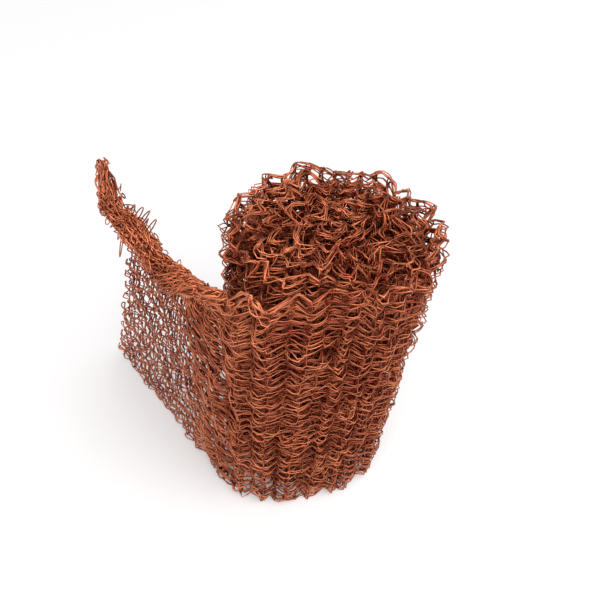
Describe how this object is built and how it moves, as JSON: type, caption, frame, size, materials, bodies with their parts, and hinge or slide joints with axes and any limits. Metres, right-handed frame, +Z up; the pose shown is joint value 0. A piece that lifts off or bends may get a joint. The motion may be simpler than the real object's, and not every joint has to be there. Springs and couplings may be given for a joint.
{
  "type": "copper mesh roll",
  "caption": "Standing roll of knitted copper mesh strip, crimped into waves, with a loose open end pulled away and its upper edge curled into a lip.",
  "frame": {"origin": "middle of the footprint, on the surface that the roll stands on", "axes": "+Z up along the roll's height, -X towards the cut end of the loose stretch, -Y the side that its curled lip turns out to"},
  "size_m": [0.13, 0.0728, 0.1271],
  "materials": {
    "copper": "drawn and flattened copper wire, slightly dulled"
  },
  "bodies": {
    "root": {"mesh_strip": "copper"}
  },
  "joints": []
}
